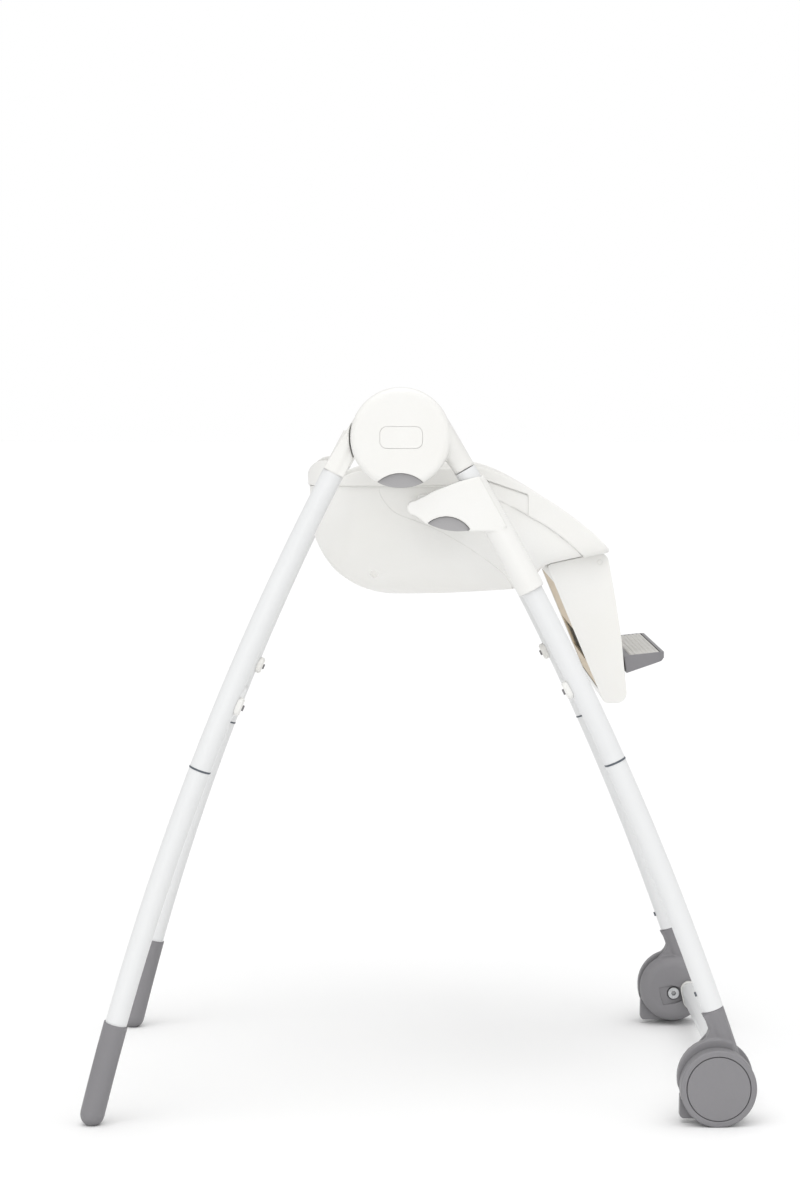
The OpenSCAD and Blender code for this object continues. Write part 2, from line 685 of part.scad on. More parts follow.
// Side outline of the footrest: its upper face rises towards the front
foot_top = [[250.4, foot_plate_z - 4.5], [299, foot_plate_z + 0.5]];
module footrest() {
    difference() {
        union() {
            // plate with a thicker root and rounded front corners
            intersection() {
                plate(-foot_plate_y, foot_plate_y)
                    polygon([foot_top[0], foot_top[1], [300, foot_plate_z - 1], [299.6, foot_plate_z - 7],
                        [296, foot_plate_z - 10.5], [253.6, foot_plate_z - 25]]);
                translate([0, 0, 480]) linear_extrude(80) {
                    translate([230, -foot_plate_y]) square([58, 2 * foot_plate_y]);
                    translate([230, -foot_plate_y + 12]) square([70, 2 * foot_plate_y - 24]);
                    for (i = [-1, 1]) translate([288, i * (foot_plate_y - 12)]) circle(r = 12, $fn = 64);
                }
            }
            // carriers through the calf rest's slots
            both_sides() {
                plate(60.5, 71.5) polygon([[232, 530], [254, 530], [256, 513], [234, 513]]);
                plate(57, 75) polygon([[232, 538], [238.6, 537], [241.4, 508], [235, 508]]);
            }
        }
        plate(-foot_plate_y + 4, foot_plate_y - 4)
            polygon([[256.5, foot_plate_z - 18], [288, foot_plate_z - 9], [288, foot_plate_z - 40],
                [255, foot_plate_z - 40]]);
        foot_pocket(1.8, 0) square([38, 2 * foot_plate_y - 14], center = true);
    }
}
// Places a flat shape on the sloped upper face, e below it, and gives it thickness h upwards
module foot_pocket(e, g, h = 6) {
    translate([foot_top[0][0] + 26, 0, foot_plate_z - 4.5 + 26 * 0.1016]) rotate([0, -5.8, 0])
        translate([0, 0, -e]) linear_extrude(h) children();
}
module footrest_pad() {
    foot_pocket(1.8, 0, 1.2) square([37.4, 2 * foot_plate_y - 14.6], center = true);
    foot_pocket(0.8, 0, 1.3) for (i = [-3:3]) translate([i * 5.2, 0]) square([3, 2 * foot_plate_y - 17], center = true);
}

color(white) hub_cover();  // hub_cover_left
color(white) other_side() hub_cover();  // hub_cover_right
color(white) both_sides() hub_inner_plate();  // hub_inner_plates
color(white) both_sides() badge();  // hub_badges
color(steel) both_sides() pivot_pin();  // pivot_pins
color(dark) both_sides() hub_washer();  // hub_washers
color(pale_grey) fold_button();  // fold_button_left
color(pale_grey) other_side() fold_button();  // fold_button_right
color(steel) fold_spring();  // fold_spring_left
color(steel) other_side() fold_spring();  // fold_spring_right
color(paint) upper_tube_front();  // upper_tube_front_left
color(paint) other_side() upper_tube_front();  // upper_tube_front_right
color(dark) both_sides() collar_front();  // leg_collars_front
color(paint) lower_tube_front();  // lower_tube_front_left
color(paint) other_side() lower_tube_front();  // lower_tube_front_right
color(white) both_sides() at_front(lock_f) lock_housing();  // leg_lock_housings_front
color(grey) at_front(lock_f) lock_button();  // leg_button_front_left
color(grey) other_side() at_front(lock_f) lock_button();  // leg_button_front_right
color(grey) castor_housing();  // castor_housing_left
color(grey) other_side() castor_housing();  // castor_housing_right
color(steel) both_sides() axle_bolt();  // axle_bolts
color(dark) both_sides() castor_pin();  // castor_pins
color(grey) brake_lever();  // brake_lever_left
color(grey) other_side() brake_lever();  // brake_lever_right
color(steel) both_sides() brake_pin();  // brake_pins
color(grey) wheel();  // wheel_left
color(grey) other_side() wheel();  // wheel_right
color(grey) wheel_cap();  // wheel_cap_left
color(grey) other_side() wheel_cap();  // wheel_cap_right
color(paint) front_bar();  // front_crossbar
color(white) both_sides() bar_end_cap();  // crossbar_end_caps
color(white) rear_socket();  // rear_socket_left
color(white) other_side() rear_socket();  // rear_socket_right
color(paint) upper_tube_rear();  // upper_tube_rear_left
color(paint) other_side() upper_tube_rear();  // upper_tube_rear_right
color(dark) both_sides() collar_rear();  // leg_collars_rear
color(paint) lower_tube_rear();  // lower_tube_rear_left
color(paint) other_side() lower_tube_rear();  // lower_tube_rear_right
color(white) both_sides() at_rear(lock_r) lock_housing();  // leg_lock_housings_rear
color(grey) at_rear(lock_r) lock_button();  // leg_button_rear_left
color(grey) other_side() at_rear(lock_r) lock_button();  // leg_button_rear_right
color(grey) rear_foot();  // rear_foot_left
color(grey) other_side() rear_foot();  // rear_foot_right
color(paint) rear_bar();  // rear_crossbar
color(steel) rivets();  // frame_rivets
color(steel) both_sides() hub_screw();  // hub_screws
color(white) slider_bracket();  // slider_bracket_left
color(white) other_side() slider_bracket();  // slider_bracket_right
color(pale_grey) height_button();  // height_button_left
color(pale_grey) other_side() height_button();  // height_button_right
color(white) seat_shell();
color(white) seat_rim();
color(white) side_cover();  // side_cover_left
color(white) other_side() side_cover();  // side_cover_right
color(steel) both_sides() bracket_screw();  // bracket_screws
color(white) calf_rest_shell();
color(beige) calf_rest_back();
color(steel) calf_hinge_pins();
color(grey) footrest();
color(pale_grey) footrest_pad();
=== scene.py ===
import json
import math
import bmesh
import bpy
from mathutils import Matrix, Vector


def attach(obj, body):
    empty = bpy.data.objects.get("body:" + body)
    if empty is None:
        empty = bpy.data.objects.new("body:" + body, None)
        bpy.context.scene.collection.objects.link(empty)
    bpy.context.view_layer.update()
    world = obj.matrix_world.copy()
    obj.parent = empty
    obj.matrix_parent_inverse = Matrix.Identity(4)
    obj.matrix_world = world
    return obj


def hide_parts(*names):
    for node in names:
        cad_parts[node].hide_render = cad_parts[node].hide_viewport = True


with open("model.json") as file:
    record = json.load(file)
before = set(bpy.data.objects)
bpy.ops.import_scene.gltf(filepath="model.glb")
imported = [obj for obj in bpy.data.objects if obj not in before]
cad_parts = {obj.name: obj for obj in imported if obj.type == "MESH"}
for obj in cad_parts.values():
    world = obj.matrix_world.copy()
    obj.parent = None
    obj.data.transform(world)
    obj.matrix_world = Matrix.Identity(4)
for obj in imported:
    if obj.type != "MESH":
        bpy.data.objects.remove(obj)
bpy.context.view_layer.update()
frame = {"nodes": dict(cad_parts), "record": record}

nodes = frame["nodes"]
record = frame["record"]
slot_of = {s["node"]: s["material_slot"] for s in record["subparts"]}


# ---- Materials ----
class Shade:
    """A node material under construction."""

    def __init__(self, name):
        self.mat = bpy.data.materials.new(name)
        self.mat.use_nodes = True
        self.tree = self.mat.node_tree
        self.bsdf = self.tree.nodes["Principled BSDF"]
        self.coord = self.tree.nodes.new("ShaderNodeTexCoord").outputs["Object"]

    def node(self, kind, **inputs):
        n = self.tree.nodes.new("ShaderNode" + kind)
        for k, v in inputs.items():
            k = k.replace("_", " ")
            if k in n.inputs:
                self.put(n.inputs[k], v)
            else:
                setattr(n, k.replace(" ", "_"), v)
        return n

    def put(self, socket, value):
        if isinstance(value, bpy.types.NodeSocket):
            self.tree.links.new(value, socket)
        else:
            socket.default_value = value

    def scaled(self, scale):
        m = self.node("Mapping")
        self.put(m.inputs["Vector"], self.coord)
        m.inputs["Scale"].default_value = scale
        return m.outputs[0]

    def noise(self, scale, detail=4, rough=0.55, stretch=(1, 1, 1)):
        n = self.node("TexNoise", Scale=scale, Detail=detail, Roughness=rough)
        self.put(n.inputs["Vector"], self.scaled(stretch))
        return n.outputs["Fac"]

    def ramp(self, fac, stops):
        r = self.node("ValToRGB")
        els = r.color_ramp.elements
        while len(els) < len(stops):
            els.new(0.5)
        for e, (p, c) in zip(els, stops):
            e.position, e.color = p, (*c, 1)
        self.put(r.inputs["Fac"], fac)
        return r.outputs["Color"]

    def span(self, value, a, b, lo, hi):
        m = self.node("MapRange")
        for k, v in zip(("Value", "From Min", "From Max", "To Min", "To Max"), (value, a, b, lo, hi)):
            self.put(m.inputs[k], v)
        return m.outputs[0]

    def mix(self, fac, a, b, mode="MIX"):
        m = self.node("Mix")
        m.data_type, m.blend_type = "RGBA", mode
        self.put(m.inputs[0], fac)
        self.put(m.inputs[6], a)
        self.put(m.inputs[7], b)
        return m.outputs[2]

    def math(self, op, a, b=0.0):
        m = self.node("Math", operation=op)
        self.put(m.inputs[0], a)
        self.put(m.inputs[1], b)
        return m.outputs[0]

    def bump(self, height, strength, distance, normal=None):
        n = self.node("Bump", Height=height, Strength=strength, Distance=distance)
        if normal is not None:
            self.put(n.inputs["Normal"], normal)
        return n.outputs[0]


def tone(c, k):
    return tuple(min(1.0, x * k) for x in c)


def plastic(name, base, rough, grain=(1400, 0.12), var=0.03, tint=(1, 1, 1), crevice_shade=0.16, edge=0.0006,
            specular=0.45, coat=0.0):
    """Moulded plastic: cloudy colour, fine spark-eroded grain, uneven gloss, painted shade in the crevices."""
    s = Shade(name)
    cloud = s.noise(5, 5)
    deep = tuple(b * (1 - var) * t for b, t in zip(base, tint))
    col = s.ramp(cloud, [(0.3, deep), (0.7, tone(base, 1 + var * 0.5))])
    speck = s.noise(grain[0] * 0.35, 3)
    col = s.mix(s.span(speck, 0.35, 0.7, 0.0, 0.22), col, (*tone(base, 1 - var * 1.6), 1))
    # painted shade: the colour darkens towards a deep tone where ambient occlusion finds creases, recesses and
    # gaps between parts
    ao = s.node("AmbientOcclusion", Distance=0.012, samples=6)
    dust_and_shade = tuple(b * 0.45 * t for b, t in zip(base, tint))
    col = s.mix(s.span(ao.outputs["AO"], 0.25, 0.95, crevice_shade, 0.0), col, (*dust_and_shade, 1))
    s.put(s.bsdf.inputs["Base Color"], col)
    wide = s.noise(28, 4)
    fine = s.noise(grain[0], 2)
    r = s.math("ADD", s.span(wide, 0.3, 0.7, rough - 0.05, rough + 0.05), s.span(fine, 0.3, 0.7, -0.03, 0.03))
    s.put(s.bsdf.inputs["Roughness"], r)
    soft = s.node("Bevel", Radius=edge, samples=4)
    ripple = s.bump(s.noise(16, 2), 0.12, 0.0008, soft.outputs[0])
    s.put(s.bsdf.inputs["Normal"], s.bump(fine, grain[1], 0.00015, ripple))
    s.bsdf.inputs["Specular IOR Level"].default_value = specular
    if coat:
        s.bsdf.inputs["Coat Weight"].default_value = coat
        s.bsdf.inputs["Coat Roughness"].default_value = 0.18
    return s.mat


def paint(name, base, rough):
    """Powder coat on steel tube: fine orange peel and slight gloss differences."""
    s = Shade(name)
    cloud = s.noise(4, 4)
    col = s.ramp(cloud, [(0.3, tone(base, 0.975)), (0.7, base)])
    scuff = s.noise(60, 6, 0.7, (1, 1, 0.12))
    col = s.mix(s.span(scuff, 0.62, 0.8, 0.0, 0.25), col, (*tone(base, 0.93), 1))
    # painted shade: the colour darkens towards half its tone in creases and where the tube meets other parts
    ao = s.node("AmbientOcclusion", Distance=0.01, samples=6)
    col = s.mix(s.span(ao.outputs["AO"], 0.3, 0.95, 0.2, 0.0), col, (*tone(base, 0.5), 1))
    s.put(s.bsdf.inputs["Base Color"], col)
    peel = s.noise(700, 2)
    s.put(s.bsdf.inputs["Roughness"], s.math("ADD", s.span(peel, 0.3, 0.7, rough - 0.04, rough + 0.04),
                                             s.span(scuff, 0.55, 0.85, 0.0, 0.08)))
    soft = s.node("Bevel", Radius=0.0004, samples=4)
    s.put(s.bsdf.inputs["Normal"], s.bump(peel, 0.1, 0.0002, soft.outputs[0]))
    s.bsdf.inputs["Coat Weight"].default_value = 0.15
    s.bsdf.inputs["Coat Roughness"].default_value = 0.2
    return s.mat


def steel(name, base, rough):
    """Zinc-plated steel: streaked tone and fine turned lines."""
    s = Shade(name)
    streak = s.noise(300, 5, 0.6, (1, 0.08, 1))
    col = s.ramp(streak, [(0.3, tone(base, 0.8)), (0.7, tone(base, 1.1))])
    # painted shade: the colour darkens almost to black in recesses and gaps between parts
    ao = s.node("AmbientOcclusion", Distance=0.006, samples=6)
    col = s.mix(s.span(ao.outputs["AO"], 0.3, 0.9, 0.85, 0.0), col, (*tone(base, 0.12), 1))
    s.put(s.bsdf.inputs["Base Color"], col)
    s.bsdf.inputs["Metallic"].default_value = 1.0
    s.put(s.bsdf.inputs["Roughness"], s.span(streak, 0.3, 0.7, rough - 0.07, rough + 0.1))
    soft = s.node("Bevel", Radius=0.0003, samples=4)
    s.put(s.bsdf.inputs["Normal"], s.bump(streak, 0.12, 0.0001, soft.outputs[0]))
    return s.mat


def pad_rubber(name, base):
    """Soft moulded pad with a matt, slightly dusty face."""
    s = Shade(name)
    dust_and_shade = s.noise(35, 6, 0.6)
    col = s.ramp(dust_and_shade, [(0.35, tone(base, 0.93)), (0.75, tone(base, 1.05))])
    s.put(s.bsdf.inputs["Base Color"], col)
    fine = s.noise(1100, 3)
    s.put(s.bsdf.inputs["Roughness"], s.span(dust_and_shade, 0.3, 0.7, 0.62, 0.78))
    soft = s.node("Bevel", Radius=0.0005, samples=4)
    s.put(s.bsdf.inputs["Normal"], s.bump(fine, 0.25, 0.0002, soft.outputs[0]))
    s.bsdf.inputs["Specular IOR Level"].default_value = 0.3
    return s.mat


MATS = {
    "white_plastic": plastic("moulded_white", (0.80, 0.798, 0.782), 0.36, tint=(1, 0.99, 0.965), coat=0.1),
    "white_paint": paint("powder_coat_white", (0.75, 0.757, 0.76), 0.32),
    "grey_plastic": plastic("textured_grey", (0.222, 0.217, 0.227), 0.48, grain=(900, 0.3), var=0.06,
                            crevice_shade=0.3, edge=0.0009),
    "button_grey": plastic("button_grey", (0.352, 0.346, 0.352), 0.42, grain=(1000, 0.18), var=0.05,
                           crevice_shade=0.4),
    "slate_plastic": plastic("slate_collar", (0.10, 0.115, 0.135), 0.45, grain=(1200, 0.15), var=0.08),
    # painted shade: the calf rest's rear panel gets a warm beige that stands in for the shade on its rear face
    "beige_plastic": plastic("back_panel_painted_shade", (0.58, 0.475, 0.335), 0.5, grain=(1000, 0.2), var=0.06,
                             crevice_shade=0.4),
    "pad_grey": pad_rubber("ribbed_pad", (0.56, 0.548, 0.525)),
    "steel": steel("zinc_steel", (0.62, 0.63, 0.64), 0.34),
}
for name, obj in nodes.items():
    obj.data.materials.clear()
    obj.data.materials.append(MATS[slot_of[name]])


def soften(obj, width, segments=2, angle=28):
    """Rounds a CAD node's sharp edges with modifiers, leaving its mesh as it is."""
    w = obj.modifiers.new("join", "WELD")
    w.merge_threshold = 0.00002
    d = obj.modifiers.new("flat", "DECIMATE")
    d.decimate_type, d.angle_limit = "DISSOLVE", math.radians(0.6)
    b = obj.modifiers.new("round", "BEVEL")
    b.width, b.segments, b.limit_method, b.angle_limit = width, segments, "ANGLE", math.radians(angle)
    b.use_clamp_overlap, b.harden_normals = True, False
    obj.modifiers.new("normals", "WEIGHTED_NORMAL").keep_sharp = False


# ---- Studio ----
def studio():
    me = bpy.data.meshes.new("floor")
    bm = bmesh.new()
    n = 24
    places = [-90 + 180 * i / n for i in range(n + 1)]
    grid = [[bm.verts.new((x, y, 0)) for y in places] for x in places]
    for i in range(n):
        for j in range(n):
            bm.faces.new((grid[i][j], grid[i + 1][j], grid[i + 1][j + 1], grid[i][j + 1]))
    bm.to_mesh(me)
    bm.free()
    floor = bpy.data.objects.new("floor", me)
    bpy.context.scene.collection.objects.link(floor)
    s = Shade("studio_floor")
    pale = [(0.3, (0.93, 0.93, 0.93)), (0.7, (0.95, 0.95, 0.95))]
    s.put(s.bsdf.inputs["Base Color"], s.ramp(s.noise(1.2, 3), pale))
    s.put(s.bsdf.inputs["Roughness"], s.span(s.noise(20, 3), 0.3, 0.7, 0.7, 0.85))
    s.put(s.bsdf.inputs["Normal"], s.bump(s.noise(300, 2), 0.05, 0.0005))
    me.materials.append(s.mat)

    world = bpy.data.worlds.new("studio")
    bpy.context.scene.world = world
    world.use_nodes = True
    tree = world.node_tree
    back = tree.nodes["Background"]
    back.inputs[0].default_value = (1.0, 1.0, 1.0, 1)
    back.inputs[1].default_value = 0.66
    seen = tree.nodes.new("ShaderNodeBackground")
    seen.inputs[0].default_value = (1.0, 1.0, 1.0, 1)
    seen.inputs[1].default_value = 1.0
    path = tree.nodes.new("ShaderNodeLightPath")
    both = tree.nodes.new("ShaderNodeMixShader")
    tree.links.new(path.outputs["Is Camera Ray"], both.inputs[0])
    tree.links.new(back.outputs[0], both.inputs[1])
    tree.links.new(seen.outputs[0], both.inputs[2])
    tree.links.new(both.outputs[0], tree.nodes["World Output"].inputs[0])

    def sun(name, direction, power, soft):
        light = bpy.data.lights.new(name, "SUN")
        light.energy, light.angle = power, math.radians(soft)
        o = bpy.data.objects.new(name, light)
        o.rotation_mode = "QUATERNION"
        o.rotation_quaternion = Vector(direction).to_track_quat("-Z", "Y")
        bpy.context.scene.collection.objects.link(o)

    sun("key", (0.22, 0.7, -1.0), 1.0, 60)
    sun("fill", (0.05, 1.0, 0.12), 0.8, 60)
    sun("top", (-0.25, 0.1, -1.0), 0.7, 70)


studio()

cam_data = bpy.data.cameras.new("camera")
cam = bpy.data.objects.new("camera", cam_data)
bpy.context.scene.collection.objects.link(cam)
cam_data.lens, cam_data.sensor_width = 87.0, 36.0
yaw = math.radians(1.52)
cam_data.shift_x, cam_data.shift_y = -0.0597, -0.165
cam.location = (-0.026, -3.638, 0.838)
cam.rotation_euler = (math.radians(90), 0, -yaw)
cam_data.clip_start, cam_data.clip_end = 0.05, 60
cam_data.dof.use_dof = False
bpy.context.scene.camera = cam
bpy.context.scene.view_settings.view_transform = "Standard"


# ---- Pieces ----
def add(name, me, body, mat_slot, *stands_for):
    o = bpy.data.objects.new(name, me)
    bpy.context.scene.collection.objects.link(o)
    me.materials.clear()
    me.materials.append(MATS[mat_slot])
    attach(o, body)
    if stands_for:
        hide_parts(*stands_for)
    return o


def baked(obj):
    """A mesh with the object's modifiers applied."""
    dg = bpy.context.evaluated_depsgraph_get()
    me = bpy.data.meshes.new_from_object(obj.evaluated_get(dg))
    bpy.data.objects.remove(obj)
    return me


def temp(me):
    o = bpy.data.objects.new("temp", me)
    bpy.context.scene.collection.objects.link(o)
    return o


def cut(obj, cutter, how="DIFFERENCE"):
    m = obj.modifiers.new("cut", "BOOLEAN")
    m.operation, m.solver, m.object = how, "MANIFOLD", cutter


def cut_mesh(me, *cutters, how="DIFFERENCE"):
    o = temp(me)
    tools = [temp(c) for c in cutters]
    for t in tools:
        cut(o, t, how)
    out = baked(o)
    for t in tools:
        bpy.data.objects.remove(t)
    return out


def smooth_faces(me, angle=38):
    for p in me.polygons:
        p.use_smooth = True
    me.set_sharp_from_angle(angle=math.radians(angle))
    return me


def remeshed(meshes, voxel, rounds, factor=0.5):
    """Joins closed meshes and melts them into one moulded form."""
    bm = bmesh.new()
    for me in meshes:
        bm.from_mesh(me)
    joined = bpy.data.meshes.new("joined")
    bm.to_mesh(joined)
    bm.free()
    o = temp(joined)
    r = o.modifiers.new("melt", "REMESH")
    r.mode, r.voxel_size, r.adaptivity = "VOXEL", voxel, 0
    if rounds:
        c = o.modifiers.new("soft", "SMOOTH")
        c.factor, c.iterations = factor, rounds
    return baked(o)


def slab(points, y0, y1):
    """An outline in X and Z, in millimetres, given thickness from y0 to y1."""
    bm = bmesh.new()
    lo = [bm.verts.new((x / 1000, y0 / 1000, z / 1000)) for x, z in points]
    hi = [bm.verts.new((x / 1000, y1 / 1000, z / 1000)) for x, z in points]
    bm.faces.new(lo)
    bm.faces.new(hi[::-1])
    n = len(points)
    for i in range(n):
        bm.faces.new((lo[i], hi[i], hi[(i + 1) % n], lo[(i + 1) % n]))
    bmesh.ops.recalc_face_normals(bm, faces=bm.faces)
    me = bpy.data.meshes.new("slab")
    bm.to_mesh(me)
    bm.free()
    return me


def ring(c, r, a0=0, a1=360, n=64):
    return [(c[0] + r * math.cos(math.radians(a0 + (a1 - a0) * i / n)),
             c[1] + r * math.sin(math.radians(a0 + (a1 - a0) * i / n))) for i in range(n)]


def lathe(profile, centre, side, n=128):
    """Turns (radius, y) points in millimetres round an axis along Y; side is 1 for left, -1 for right."""
    bm = bmesh.new()
    rows = []
    for r, y in profile:
        if r < 1e-6:
            rows.append([bm.verts.new((centre[0] / 1000, side * y / 1000, centre[1] / 1000))])
        else:
            circle = ring(centre, r, n=n)
            rows.append([bm.verts.new((x / 1000, side * y / 1000, z / 1000)) for x, z in circle])
    for a, b in zip(rows, rows[1:]):
        for k in range(n):
            q = (k + 1) % n
            if len(a) == 1 and len(b) == 1:
                continue
            if len(a) == 1:
                bm.faces.new((a[0], b[k], b[q]))
            elif len(b) == 1:
                bm.faces.new((a[k], b[0], a[q]))
            else:
                bm.faces.new((a[k], b[k], b[q], a[q]))
    bmesh.ops.recalc_face_normals(bm, faces=bm.faces)
    me = bpy.data.meshes.new("lathe")
    bm.to_mesh(me)
    bm.free()
    return me


def round_profile(points, r, n=6):
    """Rounds the corners of an open or closed list of (radius, y) points."""
    out = []
    for i, p in enumerate(points):
        if i in (0, len(points) - 1):
            out.append(p)
            continue
        a, b, c = (Vector(q) for q in (points[i - 1], p, points[i + 1]))
        d = min(r, (a - b).length * 0.45, (c - b).length * 0.45)
        u, w = b + (a - b).normalized() * d, b + (c - b).normalized() * d
        for k in range(n + 1):
            t = k / n
            q = u * (1 - t) ** 2 + b * 2 * t * (1 - t) + w * t * t
            out.append((q.x, q.y))
    return out


SIDES = (("left", 1), ("right", -1))
joints = {j["name"]: j for j in record["behaviour"]["joints"]}


def pivot(joint):
    """Where a hinge's axis crosses the side view, as X and Z in millimetres."""
    x, _, z = joints[joint]["pos_m"]
    return (round(x * 1000, 3), round(z * 1000, 3))


HUB = pivot("fold")
WHEEL = pivot("wheel_spin_left")
CALF_PIVOT = pivot("calf_rest_tilt")


def side_slab(points, inner, outer, side):
    """A slab between two distances from the middle, on one side of the part."""
    return slab(points, *sorted((side * inner, side * outer)))


def cad_mesh(node):
    """A welded copy of a CAD node's mesh."""
    me = nodes[node].data.copy()
    bm = bmesh.new()
    bm.from_mesh(me)
    bmesh.ops.remove_doubles(bm, verts=bm.verts, dist=0.00002)
    bm.to_mesh(me)
    bm.free()
    return me


def moulded(node, voxel, rounds, body, cutters=()):
    """Replaces a CAD shell with the same shape melted to moulded radii, then cut by sharp-edged cutters."""
    me = remeshed([cad_mesh(node)], voxel / 1000, rounds)
    if cutters:
        me = cut_mesh(me, *cutters)
    add(node + "_moulded", smooth_faces(me), body, slot_of[node], node)


# ---- Hub covers: the disc's face runs out in one sweep into the neck above the front tube ----
HUB_RADIUS = 58.4
HUB_FACE = 295
NECK_TIP = Vector((55.55, 0, 759.6))
NECK_ALONG = Vector((-0.5045, 0, 0.8634))
NECK_ACROSS = Vector((0.8634, 0, 0.5045))
NECK_LEVEL = 265
NECK_DEPTH = 11.5
# distance from the tube's seam, half width inwards and outwards, face, shift outwards
NECK_STATIONS = (
    (0, 12.7, 12.7, 277.9, 0), (12, 13.5, 12.8, 280.5, 0), (24, 15.5, 12.9, 285, 0), (36, 19, 12.9, 290, 0),
    (48, 24, 12.9, 293.4, 0), (60, 27, 12.8, 294.6, 0), (72, 28, 12.3, 294.8, -0.6),
)


def neck_section(station, side, steps=24):
    """One cross-section of the neck: round at the seam, flatter on top towards the disc."""
    t, half_in, half_out, face, shift = station
    flat = 1 - 0.55 * min(1, t / 48)
    centre = NECK_TIP + NECK_ALONG * t + NECK_ACROSS * shift
    points = []
    for k in range(steps):
        ca = math.cos(2 * math.pi * k / steps)
        sa = math.sin(2 * math.pi * k / steps)
        across = (half_out if ca > 0 else half_in) * math.copysign(abs(ca) ** 0.85, ca)
        height = (face - NECK_LEVEL) * sa ** flat if sa > 0 else NECK_DEPTH * sa
        p = centre + NECK_ACROSS * across
        points.append((p.x / 1000, side * (NECK_LEVEL + height) / 1000, p.z / 1000))
    return points


def hub_neck(side):
    bm = bmesh.new()
    rows = [[bm.verts.new(p) for p in neck_section(station, side)] for station in NECK_STATIONS]
    n = len(rows[0])
    for a, b in zip(rows, rows[1:]):
        for k in range(n):
            bm.faces.new((a[k], a[(k + 1) % n], b[(k + 1) % n], b[k]))
    bm.faces.new(rows[0])
    bm.faces.new(rows[-1][::-1])
    bmesh.ops.recalc_face_normals(bm, faces=bm.faces)
    me = bpy.data.meshes.new("neck")
    bm.to_mesh(me)
    bm.free()
    return me


def badge_outline():
    """The badge's rounded rectangle, from four corner arcs."""
    corner = 8
    out = []
    for cx, cz, start in ((16.8, 4.8, 0), (-16.8, 4.8, 90), (-16.8, -4.8, 180), (16.8, -4.8, 270)):
        for a in range(0, 91, 15):
            turn = math.radians(start + a)
            out.append((HUB[0] + 0.5 + cx + corner * math.cos(turn), HUB[1] + cz + corner * math.sin(turn)))
    return out


def lens_outline():
    """The opening for the fold button: an arc above, and the disc's lower edge below."""
    r, z = 38.8, 717.2
    above = [(HUB[0] - 0.6 + r * math.cos(math.radians(a)), z + r * math.sin(math.radians(a)))
             for a in range(28, 153, 4)]
    return above + ring(HUB, 61.5, 235, 305, 24)


def hub_cover(name, side):
    r = HUB_RADIUS
    half = [(0, 268), (r - 0.5, 268), (r, 274), (r, HUB_FACE), (40, HUB_FACE), (0, HUB_FACE)]
    form = remeshed([lathe(round_profile(half, 9, 8), HUB, side), hub_neck(side)], 0.0011, 18)
    form = cut_mesh(form, side_slab(lens_outline(), 286, 300, side),
                    side_slab(ring(HUB, 63, 0, 360, 96), 250, 266.3, side))
    form = cut_mesh(form, side_slab(badge_outline(), HUB_FACE - 0.6, 300, side))
    node = "hub_cover_" + name
    add(node + "_moulded", smooth_faces(form, 40), "front_frame", "white_plastic", node)


for name, side in SIDES:
    hub_cover(name, side)


# ---- Moulded housings melted from their CAD forms ----
def axle_scoop(side):
    """The scooped recess round the axle's head, deepest in front of it."""
    drop = [(-19, 7.5), (-11, 9.6), (-2, 10.6), (6, 9), (12, 4.5), (15, -2), (14.6, -7), (10, -11), (2, -13.2),
            (-6, -14.6), (-14, -15.4), (-17, -6), (-18.6, 1)]
    scoop = side_slab([(WHEEL[0] + x, WHEEL[1] + z) for x, z in drop], 238, 250, side)
    shallow, slope = 245.3, 4.9 / 34
    for v in scoop.vertices:
        if abs(v.co.y) > 0.244:
            v.co.y = side * (shallow + slope * (v.co.x * 1000 - WHEEL[0] + 19)) / 1000
    return scoop


for name, side in SIDES:
    moulded("rear_socket_" + name, 1.1, 4, "rear_frame")
    moulded("slider_bracket_" + name, 1.1, 3, "seat")
    moulded("castor_housing_" + name, 1.0, 6, "front_frame", cutters=(axle_scoop(side),))
moulded("leg_lock_housings_front", 0.5, 4, "front_frame")
moulded("leg_lock_housings_rear", 0.5, 4, "rear_frame")


# ---- Seat: one smooth bucket form, divided along its seams into shell, side covers and rim ----
def curve(points, n=6):
    """A smooth line through points (Catmull-Rom)."""
    out = []
    for i in range(len(points) - 1):
        p0, p1, p2, p3 = (Vector(points[max(0, min(len(points) - 1, i + k))]) for k in (-1, 0, 1, 2))
        for k in range(n):
            t = k / n
            q = 0.5 * ((2 * p1) + (p2 - p0) * t + (2 * p0 - 5 * p1 + 4 * p2 - p3) * t * t
                       + (3 * p1 - p0 - 3 * p2 + p3) * t ** 3)
            out.append((q.x, q.y))
    return out + [tuple(points[-1])]


SWAP_XY = Matrix(((0, 1, 0, 0), (1, 0, 0, 0), (0, 0, 1, 0), (0, 0, 0, 1)))
SWAP_YZ = Matrix(((1, 0, 0, 0), (0, 0, 1, 0), (0, 1, 0, 0), (0, 0, 0, 1)))


def turned(me, swap):
    """The same prism with two axes swapped, for outlines drawn in the cross-section or in plan."""
    me.transform(swap)
    me.flip_normals()
    return me


def offset(me, by):
    """A copy of a closed form grown or shrunk by a distance in metres."""
    o = temp(me.copy())
    d = o.modifiers.new("off", "DISPLACE")
    d.strength, d.mid_level = by, 0
    return baked(o)


# Seams seen from the side: below the side covers, and between the side covers and the rim
LOWER_SEAM = curve([(-44, 737), (-43, 727), (-33, 712), (-20, 703), (4, 694), (27, 684), (51, 670.5), (75, 655),
                    (99, 637), (113, 621), (119, 600)])
UPPER_SEAM = curve([(60, 737), (90, 724.5), (116.5, 711), (134, 701), (158, 687), (182, 669), (200, 652.4)])
SEAT_FRONT = 231
CORNER = 64


